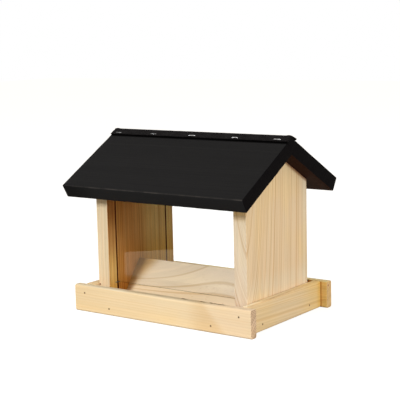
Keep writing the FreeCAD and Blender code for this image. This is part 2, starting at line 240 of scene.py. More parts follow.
def growthRings(tree, look):
    coordinates = put(tree, "TexCoord")
    spot = coordinates.outputs["Object"]
    grain, across, through = look["axes"]
    sway, sink = look["drift"]
    length = dot(tree, spot, grain / mm)
    side = calc(tree, "SUBTRACT", dot(tree, spot, (across + sway * grain) / mm), look["pith"][0])
    deep = calc(tree, "SUBTRACT", dot(tree, spot, (through + sink * grain) / mm), look["pith"][1])
    if look["swell"]:
        centre, width, height, growth, level = look["swell"]
        gap = calc(tree, "DIVIDE", calc(tree, "SUBTRACT", length, centre), width)
        hill = calc(tree, "POWER", calc(tree, "ADD", calc(tree, "MULTIPLY", gap, gap), 1.0), -2.0)
        tall = calc(tree, "MULTIPLY_ADD", side, -growth, height + growth * (level - look["pith"][0]))
        side = calc(tree, "MULTIPLY_ADD", hill, calc(tree, "MAXIMUM", tall, 0.0), side)
    amount, scale, stretch = look["wave"]
    log = join(tree, side, deep, calc(tree, "MULTIPLY_ADD", length, stretch, look["seed"]))
    wander = cloud(tree, log, scale, 2.0, "Color")
    wander = put(tree, "VectorMath", {0: wander, 1: (0.5, 0.5, 0.5)}, operation="SUBTRACT").outputs[0]
    section = join(tree, side, deep, 0.0)
    moved = put(
        tree, "VectorMath", {0: wander, 1: (amount, amount, 0), 2: section}, operation="MULTIPLY_ADD",
    )
    flat = put(tree, "VectorMath", {0: moved.outputs[0], 1: (1, 1, 0)}, operation="MULTIPLY")
    radius = put(tree, "VectorMath", {0: flat.outputs[0]}, operation="LENGTH").outputs["Value"]
    slope, start, reach = look["lean"]
    if slope:
        climb = calc(tree, "MULTIPLY", calc(tree, "SUBTRACT", length, start), slope)
        near = calc(tree, "POWER", calc(tree, "DIVIDE", radius, reach), 2.0)
        radius = calc(tree, "SUBTRACT", radius, calc(tree, "DIVIDE", climb, calc(tree, "ADD", near, 1.0)))
    count = calc(tree, "DIVIDE", radius, look["ringWidth"])
    step = calc(tree, "MULTIPLY", count, fibre["widthChange"])
    skew = put(tree, "TexNoise", {"W": step, "Detail": 1.0}, noise_dimensions="1D")
    count = calc(tree, "MULTIPLY_ADD", skew.outputs[0], 2 * look["uneven"], count)
    phase = calc(tree, "FRACT", count)
    rise = remap(tree, phase, *fibre["lateRise"])
    late = calc(tree, "MULTIPLY", rise, remap(tree, phase, *fibre["lateFall"], 1.0, 0.0))
    number = calc(tree, "ADD", calc(tree, "FLOOR", count), look["seed"])
    share = put(tree, "TexWhiteNoise", {"W": number}, noise_dimensions="1D").outputs["Value"]
    faint, bold = look["ringDepth"]
    ring = calc(tree, "MULTIPLY", late, remap(tree, share, 0.0, 1.0, faint, bold))
    for place in look["boldRings"]:
        gap = calc(tree, "ABSOLUTE", calc(tree, "SUBTRACT", radius, place))
        ring = calc(tree, "MAXIMUM", ring, remap(tree, gap, 0.2, look["boldWidth"], bold, 0.0))

    def drawnOut(name):
        stretch, scale, detail = fibre[name]
        return cloud(tree, join(tree, side, deep, calc(tree, "MULTIPLY", length, stretch)), scale, detail)

    fine = drawnOut("fine")
    broad = drawnOut("broad")
    dash = drawnOut("dash")
    stretch, scale, detail = fibre["patch"]
    place = join(tree, side, deep, calc(tree, "MULTIPLY_ADD", length, stretch, look["seed"]))
    patch = cloud(tree, place, scale, detail)
    facing = calc(tree, "ABSOLUTE", dot(tree, coordinates.outputs["Normal"], grain))
    return {
        "spot": spot,
        "length": length,
        "normal": coordinates.outputs["Normal"],
        "ring": ring,
        "late": late,
        "fine": fine,
        "broad": broad,
        "fleck": remap(tree, dash, *fibre["fleckRange"]),
        "patch": remap(tree, patch, *fibre["patchRange"]),
        "end": remap(tree, facing, *fibre["endFacing"]),
    }


def nearNails(tree, spot, nails, reach):
    inner, outer = reach
    closest = None
    for nail in nails:
        gap = put(tree, "VectorMath", {0: spot, 1: tuple(nail)}, operation="DISTANCE").outputs["Value"]
        closest = gap if closest is None else calc(tree, "MINIMUM", closest, gap)
    return remap(tree, closest, inner * mm, outer * mm, 1.0, 0.0)


def woodColour(tree, look, wood):
    colour = tint(tree, wood["ring"], paint(*look["early"]), paint(*look["late"]))
    warmth = calc(tree, "MULTIPLY", wood["patch"], look["warmth"])
    colour = tint(tree, warmth, colour, tint(tree, wood["ring"], paint(*look["warm"]), paint(*look["late"])))
    half = look["streak"] / 2
    streak = calc(tree, "MULTIPLY_ADD", wood["fine"], look["streak"], 1 - half)
    streak = calc(tree, "MULTIPLY", streak, remap(tree, wood["broad"], 0.3, 0.7, 1 - half, 1 + half))
    colour = put(tree, "VectorMath", {0: colour, "Scale": streak}, operation="SCALE").outputs[0]
    colour = tint(tree, calc(tree, "MULTIPLY", wood["fleck"], look["fleck"]), colour, paint(*look["late"]))
    sawn = tint(tree, 1.0, colour, look["endTint"], "MULTIPLY")
    sawn = tint(tree, calc(tree, "MULTIPLY", wood["late"], look["endDepth"]), sawn, paint(*look["endRing"]))
    return tint(tree, wood["end"], colour, sawn)


def tornWoodAndShade(tree, look, wood):
    tears = look["tears"]
    across, through = look["axes"][1:]
    offset = join(tree, dot(tree, wood["spot"], across / mm), dot(tree, wood["spot"], through / mm), 0.0)
    arris = (*tears["arris"], 0)
    gap = put(tree, "VectorMath", {0: offset, 1: arris}, operation="DISTANCE").outputs["Value"]
    ragged = cloud(tree, wood["spot"], 240.0, 3.0)
    gap = calc(tree, "MULTIPLY_ADD", ragged, tears["raggedAcross"], gap)
    near = remap(tree, gap, tears["darkReach"], tears["darkReach"] + 0.8, 1.0, 0.0)
    torn = None
    for first, last in tears["spans"]:
        middle, half = (first + last) / 2, (last - first) / 2
        far = calc(tree, "ABSOLUTE", calc(tree, "SUBTRACT", wood["length"], middle))
        far = calc(tree, "MULTIPLY_ADD", ragged, tears["raggedAlong"], far)
        span = remap(tree, far, half + 1.0, half + 3.0, 1.0, 0.0)
        torn = span if torn is None else calc(tree, "MAXIMUM", torn, span)
    return calc(tree, "MULTIPLY", near, torn)


def shadeWood(tree, share, colour, shade):
    return tint(tree, share, colour, tint(tree, 1.0, colour, (*shade, 1.0), "MULTIPLY"))


def shadeFaces(tree, look, wood, colour):
    for direction, shade in look["faces"]:
        facing = remap(tree, dot(tree, wood["normal"], direction), *look["facing"])
        colour = shadeWood(tree, facing, colour, shade)
    return colour


def shadeZones(tree, look, wood, colour):
    for direction, first, last, shade, *limits in look["zones"]:
        share = remap(tree, dot(tree, wood["spot"], direction / mm), first, last)
        for limit in limits:
            if isinstance(limit, Vector):
                within = remap(tree, dot(tree, wood["normal"], limit), *look["facing"])
            else:
                within = remap(tree, dot(tree, wood["spot"], limit[0] / mm), *limit[1:])
            share = calc(tree, "MULTIPLY", share, within)
        colour = shadeWood(tree, share, colour, shade)
    return colour


def markSpots(tree, look, wood, colour):
    for place, radius, shade in look["marks"]:
        middle = Vector(place) * mm
        gap = put(tree, "VectorMath", {0: wood["spot"], 1: middle}, operation="DISTANCE")
        knot = remap(tree, gap.outputs["Value"], radius * 0.6 * mm, radius * 1.1 * mm, 1.0, 0.0)
        colour = tint(tree, knot, colour, paint(*shade))
    return colour


def darkenGroove(tree, look, wood, colour):
    face, inward, offset = look["groove"]
    depth = calc(tree, "SUBTRACT", face, dot(tree, wood["spot"], inward / mm))
    beside = calc(tree, "ABSOLUTE", dot(tree, wood["spot"], away / mm))
    beside = calc(tree, "ABSOLUTE", calc(tree, "SUBTRACT", beside, offset))
    begun = remap(tree, depth, -0.1, 0.15)
    cut = calc(tree, "MULTIPLY", begun, remap(tree, depth, *scarsAndShade["grooveDepth"], 1.0, 0.0))
    cut = calc(tree, "MULTIPLY", cut, remap(tree, beside, *scarsAndShade["grooveHalf"], 1.0, 0.0))
    return tint(tree, cut, colour, paint(*scarsAndShade["groove"]))


def makePine(name, **changes):
    look = dict(pine, **changes)
    material, tree = openMaterial(name)
    wood = growthRings(tree, look)
    colour = woodColour(tree, look, wood)
    colour = shadeFaces(tree, look, wood, colour)
    colour = shadeZones(tree, look, wood, colour)
    if look["tears"]:
        colour = tint(tree, tornWoodAndShade(tree, look, wood), colour, paint(*scarsAndShade["torn"]))
    colour = markSpots(tree, look, wood, colour)
    if look["nails"]:
        nailDarkening = nearNails(tree, wood["spot"], look["nails"], look["nailRing"])
        share = calc(tree, "MULTIPLY", nailDarkening, scarsAndShade["nailDarkeningShare"])
        colour = tint(tree, share, colour, paint(*scarsAndShade["nailDarkening"]))
    if look["groove"]:
        colour = darkenGroove(tree, look, wood, colour)
    roughness = remap(tree, wood["fine"], 0.3, 0.7, 0.62, 0.74)
    height = calc(tree, "MULTIPLY_ADD", wood["fine"], 0.6, calc(tree, "MULTIPLY", wood["ring"], 0.5))
    closeMaterial(tree, colour, roughness, height, {"Specular IOR Level": 0.15}, 0.35, 0.25)
    return material


# mesh tools

meshing = {
    "sharpAngle": 32.0,  # degrees between faces, from which an edge stays sharp
    "flat": 0.9999,  # a face that looks this nearly along an axis isn't rounded
    "headDepth": 0.05,  # mm under the top of a head or crown that still count as its face
}


def settle(shape, name, body, material):
    bmesh.ops.remove_doubles(shape, verts=shape.verts, dist=0.001 * mm)
    bmesh.ops.recalc_face_normals(shape, faces=shape.faces)
    mesh = bpy.data.meshes.new(name)
    shape.to_mesh(mesh)
    shape.free()
    mesh.materials.append(material)
    mesh.set_sharp_from_angle(angle=math.radians(meshing["sharpAngle"]))
    rounded = [max(abs(part) for part in face.normal) < meshing["flat"] for face in mesh.polygons]
    mesh.polygons.foreach_set("use_smooth", rounded)
    piece = bpy.data.objects.new(name, mesh)
    bpy.context.scene.collection.objects.link(piece)
    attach(piece, body)
    return piece


def dress(node, material):
    for slot in nodes[node].material_slots:
        slot.material = material


def runsAlong(edge, direction):
    line = (edge.verts[1].co - edge.verts[0].co).normalized()
    return abs(line.dot(direction)) > 0.999


def ease(shape, edges, radius, segments):
    bmesh.ops.bevel(
        shape, geom=edges, offset=radius, offset_type="OFFSET", segments=segments, profile=0.5,
        affect="EDGES", material=-1, clamp_overlap=True,
    )


def crossCut(shape, direction, low, high, step):
    count = max(2, round((high - low) / step))
    for index in range(1, count):
        cut = direction * (low + (high - low) * index / count)
        everything = shape.verts[:] + shape.edges[:] + shape.faces[:]
        bmesh.ops.bisect_plane(shape, geom=everything, dist=1e-7, plane_co=cut, plane_no=direction)


def islands(node):
    shape = bmesh.new()
    shape.from_mesh(nodes[node].data)
    bmesh.ops.remove_doubles(shape, verts=shape.verts, dist=0.005 * mm)
    waiting = dict.fromkeys(shape.verts)  # in the mesh's own order, which a set wouldn't keep
    groups = []
    while waiting:
        group = []
        queue = [next(iter(waiting))]
        waiting.pop(queue[0])
        while queue:
            vert = queue.pop()
            group.append(vert.co.copy())
            for edge in vert.link_edges:
                other = edge.other_vert(vert)
                if other in waiting:
                    waiting.pop(other)
                    queue.append(other)
        groups.append(group)
    shape.free()
    return groups


def spread(group, direction):
    return max(point.dot(direction) for point in group) - min(point.dot(direction) for point in group)


def headOf(group, outward):
    top = max(point.dot(outward) for point in group)
    face = [point for point in group if point.dot(outward) > top - meshing["headDepth"] * mm]
    return sum(face, Vector()) / len(face)


def headsOf(node, outward):
    heads = [headOf(group, outward) for group in islands(node)]
    return sorted(heads, key=lambda point: tuple(point))


def reach(node, direction):
    return max(vert.co.dot(direction) for vert in nodes[node].data.vertices)


def bake(piece):
    graph = bpy.context.evaluated_depsgraph_get()
    mesh = bpy.data.meshes.new_from_object(piece.evaluated_get(graph))
    piece.modifiers.clear()
    piece.data = mesh


# pits round nail heads

pits = {
    "floorRadius": 0.77,
    "mouthRadius": 1.32,
    "depth": 0.5,
    "segments": 20,
}


def punchPits(piece, heads, outward):
    shape = bmesh.new()
    turn = outward.to_track_quat("Z", "Y").to_matrix().to_4x4()
    for head in heads:
        bmesh.ops.create_cone(
            shape, cap_ends=True, segments=pits["segments"], radius1=pits["floorRadius"] * mm,
            radius2=pits["mouthRadius"] * mm, depth=pits["depth"] * 2 * mm,
            matrix=Matrix.Translation(head) @ turn,
        )
    mesh = bpy.data.meshes.new("punch")
    shape.to_mesh(mesh)
    shape.free()
    punch = bpy.data.objects.new("punch", mesh)
    bpy.context.scene.collection.objects.link(punch)
    cut = piece.modifiers.new("pits", "BOOLEAN")
    cut.operation = "DIFFERENCE"
    cut.solver = "EXACT"
    cut.object = punch
    bake(piece)
    bpy.data.objects.remove(punch)


# rails

rails = {
    "rounding": 3.0,
    "endEase": (2.0, 0.6),  # the left or front end was sanded more
    "cutStep": 3.0,
    "unevenness": 0.12,
    "lumpScale": 90.0,  # of the unevenness, for each metre
    "tearScale": 160.0,
    "roundingSteps": 6,
    "endSteps": 3,
    "endClear": 3.0,  # mm at each end without cross cuts
}

railNails = {
    "front_rail": ("front_rail_nails", -away),
    "back_rail": ("back_rail_nails", away),
    "left_end_rail": ("left_rail_nails", -right),
    "right_end_rail": ("right_rail_nails", right),
}

railLooks = {
    "front_rail": {
        "pith": (-17.0, -59.0), "drift": (0.0, 0.012), "seed": 3.0, "ringWidth": 2.5, "uneven": 0.3,
        "ringDepth": (0.15, 0.4), "early": (236, 209, 167), "late": (220, 184, 132), "warmth": 0.3,
        "streak": 0.06, "endTint": (1.05, 0.98, 0.99, 1.0), "endRing": (126, 92, 62), "endDepth": 1.0,
        # Painted light and shade: the top is greyer, a painted sheen. The zones lighten, darken and cool
        # parts of the top and front along the rail; they are mostly painted light and shade, with some of
        # the wood's own tone.
        "faces": ((up, (0.86, 0.90, 0.94)),), "facing": (0.3, 0.85),
        "zones": (
            (right, 60.0, 130.0, (0.99, 1.0, 1.05)), (right, 70.0, 120.0, (1.14, 1.14, 1.2), up),
            (right, 35.0, 60.0, (1.25, 1.22, 1.3), away), (right, 40.0, 78.0, (0.92, 0.85, 0.76)),
            (-right, 42.0, 72.0, (1.22, 1.28, 1.36), away), (-right, 42.0, 72.0, (1.08, 1.15, 1.3), up),
            (right + 0.9 * up, 101.0, 117.0, (1.08, 1.15, 1.3)), (-up, -22.0, -4.0, (1.03, 1.0, 0.93)),
            (-up, -9.0, -3.0, (1.05, 1.07, 1.12)),
            (-right, -10.0, 40.0, (0.98, 0.96, 0.92)),
            (-right, 50.0, 140.0, (0.98, 0.97, 0.94)),
        ),
        # The tear's dip is shape; its darker colour is torn wood and painted shade.
        "tears": {
            "arris": (-91.6, 38.0),  # mm, across and through
            "depth": 1.6,
            "torn": 2.5,  # mm from the arris
            "fadeIn": 4.0,  # mm from each end of a span to the full depth
            "darkReach": 3.4,
            "raggedAcross": 2.4,
            "raggedAlong": 4.0,
            "spans": ((34.0, 45.0), (65.0, 74.0), (80.0, 104.0)),  # mm along the grain
        },
    },
    "back_rail": {
        "pith": (60.0, 70.0), "drift": (0.0, -0.01), "seed": 11.0,
        "early": (252, 216, 137), "late": (219, 164, 89), "endTint": (0.80, 0.75, 0.92, 1.0),
        # Painted light and shade: the top and back faces are paler and greyer than the orange inner face and
        # ends, and the inner face beyond the right end rail is a painted shadow, darker and more orange.
        "faces": ((up, (0.95, 1.15, 1.6)), (away, (0.98, 1.06, 1.4))),
        "zones": ((-right, -141.6, -139.6, (0.62, 0.42, 0.25), -away),),
        # The first spot is a painted shadow in the gap behind the right wall's back edge; the second, on the
        # end, is a reddish mark in the wood.
        "marks": (((118.3, 89.2, 36.3), 1.6, (66, 42, 16)), ((149.2, 92.8, 32.1), 1.5, (168, 96, 62))),
    },
    "left_end_rail": {"axes": alongY, "pith": (-170.0, -20.0), "seed": 17.0, "early": (232, 204, 158)},
    "right_end_rail": {
        "axes": alongY, "pith": (190.0, -10.0), "drift": (0.0, 0.04), "seed": 23.0, "early": (231, 202, 158),
        # Painted light and shade: warmer and darker towards the back end, more so on the outer face beside
        # the back rail's stub, and the top lightened beside the wall where shade falls.
        "zones": (
            (away, 20.0, 85.0, (1.03, 0.97, 0.74)), (away, 76.0, 87.0, (0.95, 0.88, 0.6), right),
            (-right, -137.0, -129.0, (1.22, 1.42, 1.75), up),
        ),
    },
}


def millRail(low, high, grain):
    shape = bmesh.new()
    bmesh.ops.create_cube(shape, size=1.0)
    bmesh.ops.scale(shape, vec=high - low, verts=shape.verts)
    bmesh.ops.translate(shape, vec=(low + high) / 2, verts=shape.verts)
    arrises = [edge for edge in shape.edges if runsAlong(edge, grain)]
    ease(shape, arrises, rails["rounding"] * mm, rails["roundingSteps"])
    first, last = low.dot(grain), high.dot(grain)
    for end, radius in zip((first, last), rails["endEase"]):
        rim = [edge for edge in shape.edges if all(abs(v.co.dot(grain) - end) < 1e-7 for v in edge.verts)]
        ease(shape, rim, radius * mm, rails["endSteps"])
    clear = rails["endClear"] * mm
    crossCut(shape, grain, first + clear, last - clear, rails["cutStep"] * mm)
    return shape


def roughenArrises(shape, low, high, grain, seed):
    centre = (low + high) / 2
    amount = rails["unevenness"] * mm
    for vert in shape.verts:
        gaps = []
        for axis in range(3):
            if abs(grain[axis]) < 0.5:
                gaps.append(min(vert.co[axis] - low[axis], high[axis] - vert.co[axis]))
        if max(gaps) > rails["rounding"] * mm * 0.98:
            continue
        lump = noise.noise(vert.co * rails["lumpScale"] + Vector((seed, 0, 0)))
        inward = centre - vert.co
        inward -= grain * inward.dot(grain)
        vert.co += inward.normalized() * amount * (0.5 + lump)


def tearArris(shape, axes, tears):
    grain, across, through = axes
    for vert in shape.verts:
        spot = vert.co / mm
        gap = math.hypot(spot.dot(across) - tears["arris"][0], spot.dot(through) - tears["arris"][1])
        for first, last in tears["spans"]:
            inside = min(spot.dot(grain) - first, last - spot.dot(grain))
            if inside > 0 and gap < tears["torn"]:
                ragged = 0.55 + 0.9 * noise.noise(vert.co * rails["tearScale"])
                bite = tears["depth"] * min(1.0, inside / tears["fadeIn"]) * ragged
                share = 1 - gap / tears["torn"]
                vert.co -= (across + through).normalized() * max(0.0, bite) * share * mm


def makeRails():
    for name, (nailNode, outward) in railNails.items():
        look = railLooks[name]
        low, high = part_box(name)
        axes = look.get("axes", alongX)
        shape = millRail(low, high, axes[0])
        roughenArrises(shape, low, high, axes[0], look["seed"])
        if "tears" in look:
            tearArris(shape, axes, look["tears"])
        heads = headsOf(nailNode, outward)
        material = makePine("pine_" + name, nails=heads, **look)
        piece = settle(shape, name + "_board", "feeder", material)
        punchPits(piece, heads, outward)
        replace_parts(piece, name)
    print("rails made")


# boards kept from the frame

innerFaceShade = (0.80, 0.58, 0.33)  # painted shade on the left wall's inner face, darker and more orange
grooveOffset = 57.3  # mm from the middle to a saw groove
dividerSlope = math.radians(52)
dividerDown = Vector((0, -math.cos(dividerSlope), -math.sin(dividerSlope)))
dividerOut = Vector((0, -math.sin(dividerSlope), math.cos(dividerSlope)))

boardLooks = {
    "floor_board": {"pith": (20.0, 60.0), "seed": 31.0, "early": (236, 210, 168)},
    "left_wall": {
        "axes": alongZ, "pith": (-250.0, -190.0), "ringWidth": 5.0, "seed": 41.0,
        "groove": (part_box("left_wall")[1].x / mm, right, grooveOffset),
        "early": (226, 192, 140), "late": (176, 116, 62), "streak": 0.2,
        # Painted light and shade: the inner face darker and more orange, the front edge paler and cooler.
        "faces": ((right, innerFaceShade), (-away, (0.97, 1.08, 1.34))),
        # A dark spot painted as the shadow in the gap where the wall's front edge meets the end rail.
        "marks": (((-124.3, -75.0, 35.4), 1.5, (112, 72, 46)),),
        # Painted light and shade on the inner face: lighter and cooler towards the back, darker and more
        # orange low down and high behind the groove; on the strip in front of the groove, lighter low down
        # and darker up under the roof.
        "zones": (
            (away, -30.0, 35.0, (1.32, 2.05, 3.0), right), (away, -38.0, -10.0, (1.12, 1.10, 1.12), right),
            (-up, -110.0, -66.0, (0.92, 0.84, 0.62), right),
            (-up, -55.0, -26.0, (0.88, 0.76, 0.5), right),
            (-up, -105.0, -48.0, (1.5, 2.1, 3.1), right, (-away, 57.0, 60.0)),
            (up, 100.0, 138.0, (0.75, 0.62, 0.48), right, (-away, 57.0, 60.0)),
            (up, 85.0, 115.0, (0.90, 0.84, 0.66), right, (-away, 36.0, 46.0), (away, -57.5, -56.5)),
        ),
    },
    "right_wall": {
        "axes": alongZ, "pith": (-75.0, 126.5), "ringWidth": 5.5, "seed": 43.0, "lean": (0.5, 30.0, 30.0),
        "boldRings": (9.6, 14.8, 49.0, 104.0, 124.0, 145.0),
        "groove": (-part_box("right_wall")[0].x / mm, -right, grooveOffset),
        # Painted light: the front edge is paler and cooler.
        "early": (234, 204, 163), "late": (206, 160, 108), "faces": ((-away, (0.88, 0.96, 1.12)),),
        # Painted light and shade: the outer face lighter and cooler at the foot and towards the back, a
        # painted warm shadow line under the roof's back board, and a painted brown shadow under the eaves on
        # the front edge.
        "zones": (
            (-up, -75.0, -48.0, (1.0, 1.07, 1.16), right), (away, 58.0, 74.0, (1.0, 1.10, 1.25), right),
            (0.4947 * away + 0.8691 * up, 190.6, 194.0, (0.6, 0.45, 0.4), right),
            (up, 142.0, 150.0, (0.88, 0.80, 0.67), -away), (up, 151.0, 154.0, (1.38, 1.32, 1.10), -away),
        ),
    },
    "divider_back_board": {"seed": 53.0, "early": (234, 210, 172)},
    "divider_front_board": {
        "axes": (right, dividerDown, dividerOut), "pith": (-166.0, 0.0), "ringWidth": 140.0,
        "seed": 47.0, "swell": (54.3, 201.0, 7.1, 0.8, -2.0), "ringDepth": (0.05, 0.5),
        "boldRings": (165.4, 172.45, 176.0), "boldWidth": 0.7, "wave": (0.15, 0.02, 0.12),
        "uneven": 0.0, "early": (224, 203, 171), "late": (192, 156, 106), "warmth": 0.12,
        # Painted light and shade: cooler towards the right, darker near the ridge, a painted brown shadow of
        # the left wall at the left end, and warmer low down below the pane's lower edge, where no reflection
        # lies over it.
        "zones": (
            (right, -20.0, 60.0, (1.02, 1.05, 1.12)), (right, 85.0, 105.0, (1.0, 1.06, 1.2)),
            (up, 44.0, 60.0, (0.91, 0.90, 0.93)), (0.8 * up - right, 110.0, 137.0, (0.64, 0.46, 0.20)),
            (-up, -33.0, -29.5, (1.03, 0.98, 0.89)),
        ),
    },
}


def dressBoards():
    for node, look in boardLooks.items():
        dress(node, makePine("pine_" + node, **look))
    print("walls, floor and divider dressed")


# roof

stain = {
    "top": (28, 27, 27),
    "grainLight": (38, 37, 36),
    # A lighter line along the eaves' top arris: wear of the stain, and a painted highlight where the arris
    # catches the light.
    "edgeWearAndHighlight": (60, 56, 52),
    "end": (13, 11, 12),
    # The underside, browner than the top: partly the stain's own tone, partly painted warm light reflected
    # from the wood.
    "under": (48, 28, 22),
    "brown": (50, 31, 26),
    "shadowed": (5, 4, 4),  # the line along the ridge strip
    "edgeLineReach": (0.4, 1.8),  # mm from the eaves' top arris
    "leftEnd": (-145.0, -85.0),  # mm along the ridge, over which the painted shade on the eaves' left end fades out
    "lineStart": (10.0, 12.0),  # mm down the slope
    "lineEnd": (14.0, 16.5),
    "bounceInside": (133.0, 143.0),  # mm from the middle; between the walls the underside is browner, painted warm light reflected from the wood
    "bounceDown": (80.0, 125.0),  # mm down the slope, over which that grows less
}

roof = {
    "slope": 29.65,  # degrees
    "edge": 1.0,
    "edgeSteps": 3,
    "cutStep": 5.0,
    "wear": 0.45,  # depth of the chips
    "chipScale": 110.0,
    "chipShare": 0.15,  # more makes more of the arris chipped
}


def slopeOf(side):
    angle = math.radians(roof["slope"])
    downhill = Vector((0, side * math.cos(angle), -math.sin(angle)))
    outward = Vector((0, side * math.sin(angle), math.cos(angle)))
    return downhill, outward


def makeStain(name, look, side, apex, length):
    material, tree = openMaterial(name)
    look = dict(pine, **look)
    downhill, outward = slopeOf(side)
    wood = growthRings(tree, look)
    grain = calc(tree, "MULTIPLY_ADD", wood["broad"], 0.5, calc(tree, "MULTIPLY", wood["ring"], 0.5))
    colour = tint(tree, grain, paint(*stain["top"]), paint(*stain["grainLight"]))
    down = calc(tree, "SUBTRACT", dot(tree, wood["spot"], downhill / mm), apex.dot(downhill) / mm)
    out = calc(tree, "SUBTRACT", dot(tree, wood["spot"], outward / mm), apex.dot(outward) / mm)
    arris = join(tree, calc(tree, "SUBTRACT", down, length / mm), out, 0.0)
    arris = put(tree, "VectorMath", {0: arris}, operation="LENGTH").outputs["Value"]
    edgeLine = remap(tree, arris, *stain["edgeLineReach"], 1.0, 0.0)
    patchy = remap(tree, cloud(tree, wood["spot"], 60.0, 3.0), 0.35, 0.65, 0.25, 1.0)
    edgeLine = calc(tree, "MULTIPLY", edgeLine, patchy)
    leftEnd = remap(tree, wood["length"], *stain["leftEnd"], 1.0, 0.0)
    edgeLine = calc(tree, "MULTIPLY", edgeLine, calc(tree, "MULTIPLY_ADD", leftEnd, -0.75, 1.0))
    colour = tint(tree, edgeLine, colour, paint(*stain["edgeWearAndHighlight"]))
    # Painted shade: the eaves' face is darker towards the left end.
    face = remap(tree, dot(tree, wood["normal"], downhill), 0.6, 0.9)
    share = calc(tree, "MULTIPLY", face, leftEnd)
    colour = tint(tree, share, colour, tint(tree, 0.45, colour, (0, 0, 0, 1)))
    colour = tint(tree, wood["end"], colour, paint(*stain["end"]))
    begun = remap(tree, down, *stain["lineStart"])
    line = calc(tree, "MULTIPLY", begun, remap(tree, down, *stain["lineEnd"], 1.0, 0.0))
    line = calc(tree, "MULTIPLY", line, remap(tree, out, -1.2, -0.6))
    colour = tint(tree, line, colour, paint(*stain["shadowed"]))
    under = remap(tree, dot(tree, wood["normal"], -outward), 0.75, 0.9)
    outside = calc(tree, "ABSOLUTE", dot(tree, wood["spot"], right / mm))
    inside = remap(tree, outside, *stain["bounceInside"], 1.0, 0.0)
    warmBounce = calc(tree, "MULTIPLY", inside, remap(tree, down, *stain["bounceDown"], 1.0, 0.3))
    colour = tint(tree, under, colour, tint(tree, warmBounce, paint(*stain["under"]), paint(*stain["brown"])))
    roughness = remap(tree, wood["fine"], 0.3, 0.7, 0.5, 0.62)
    height = calc(tree, "MULTIPLY_ADD", wood["fine"], 0.6, calc(tree, "MULTIPLY", wood["ring"], 0.6))
    closeMaterial(tree, colour, roughness, height, {"Specular IOR Level": 0.01}, 0.5, 0.3)
    return material


def sawRoofBoard(low, high, apex, length, thickness, side):
    downhill, outward = slopeOf(side)
    back = thickness * math.tan(math.radians(roof["slope"]))
    shape = bmesh.new()
    bmesh.ops.create_cube(shape, size=1.0)
    bmesh.ops.scale(shape, vec=(high.x - low.x, length + back, thickness), verts=shape.verts)
    bmesh.ops.translate(shape, vec=(0, (length - back) / 2, -thickness / 2), verts=shape.verts)
    turn = Matrix((right, downhill, outward)).transposed().to_4x4()
    bmesh.ops.transform(shape, matrix=Matrix.Translation(apex) @ turn, verts=shape.verts)
    everything = shape.verts[:] + shape.edges[:] + shape.faces[:]
    bmesh.ops.bisect_plane(
        shape, geom=everything, dist=1e-7, plane_co=apex, plane_no=-side * away, clear_outer=True,
    )
    bmesh.ops.holes_fill(shape, edges=[edge for edge in shape.edges if edge.is_boundary])
    bmesh.ops.recalc_face_normals(shape, faces=shape.faces)
    arrises = [edge for edge in shape.edges if any(abs(v.co.y) > 1e-6 for v in edge.verts)]
    ease(shape, arrises, roof["edge"] * mm, roof["edgeSteps"])
    crossCut(shape, right, low.x + 2 * mm, high.x - 2 * mm, roof["cutStep"] * mm)
    first = apex.dot(downhill)
    crossCut(shape, downhill, first + 4 * mm, first + length - 2 * mm, roof["cutStep"] * mm)
    return shape


def chipRoofBoard(shape, low, high, apex, length, thickness, side):
    downhill, outward = slopeOf(side)
    middle = right * (low.x + high.x) / 2 + apex + downhill * length / 2 - outward * thickness / 2
    for vert in shape.verts:
        place = vert.co - apex
        gaps = sorted((
            -place.dot(outward), thickness + place.dot(outward), length - place.dot(downhill),
            vert.co.x - low.x, high.x - vert.co.x,
        ))
        if gaps[1] < roof["edge"] * 1.02 * mm and abs(vert.co.y) > 2 * mm:
            chip = max(0.0, noise.noise(vert.co * roof["chipScale"]) + roof["chipShare"])
            vert.co += (middle - vert.co).normalized() * chip * roof["wear"] * mm


def makeRoofBoard(node, side, body, seed):
    downhill, outward = slopeOf(side)
    low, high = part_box(node)
    apex = up * high.z
    length = reach(node, downhill) - apex.dot(downhill)
    thickness = reach(node, -outward) + apex.dot(outward)
    shape = sawRoofBoard(low, high, apex, length, thickness, side)
    chipRoofBoard(shape, low, high, apex, length, thickness, side)
    look = {"pith": (side * 200.0, 120.0), "seed": seed, "ringWidth": 5.0}
    material = makeStain("stain_" + node, look, side, apex, length)
    return settle(shape, node + "_stained", body, material)


def makeRoof():
    lid = makeRoofBoard("roof_front_board", -1, "roof_lid", 61.0)
    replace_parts(lid, "roof_front_board")
    fixed = makeRoofBoard("roof_back_board", 1, "feeder", 67.0)
    outward = slopeOf(1)[1]
    punchPits(fixed, headsOf("roof_nails", outward), outward)
    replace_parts(fixed, "roof_back_board")
    print("roof made")


# ridge strip

strip = {
    "innerRadius": 0.35,
    "arcSteps": 8,
    "cutStep": 2.0,
    "endClear": 1.5,  # mm at each end without cross cuts
    "edge": 0.4,
    "edgeWave": 0.5,
    "waveLength": 14.0,
    "ragged": 0.9,
    "unevenness": 0.18,
    "lumpLength": 9.0,
    "endLift": 1.7,  # the back flap's right end
    "liftReach": 7.0,
    "crestLift": (0.8, 9.0),  # at both ends of the crest: rise, reach
    "bendHalf": 1.4,  # mm to each side of the crest that bend with the lid
    "colour": (15, 13, 13),
    "dust": (40, 36, 35),
    "paintedDarkEdge": (5, 4, 4),
}


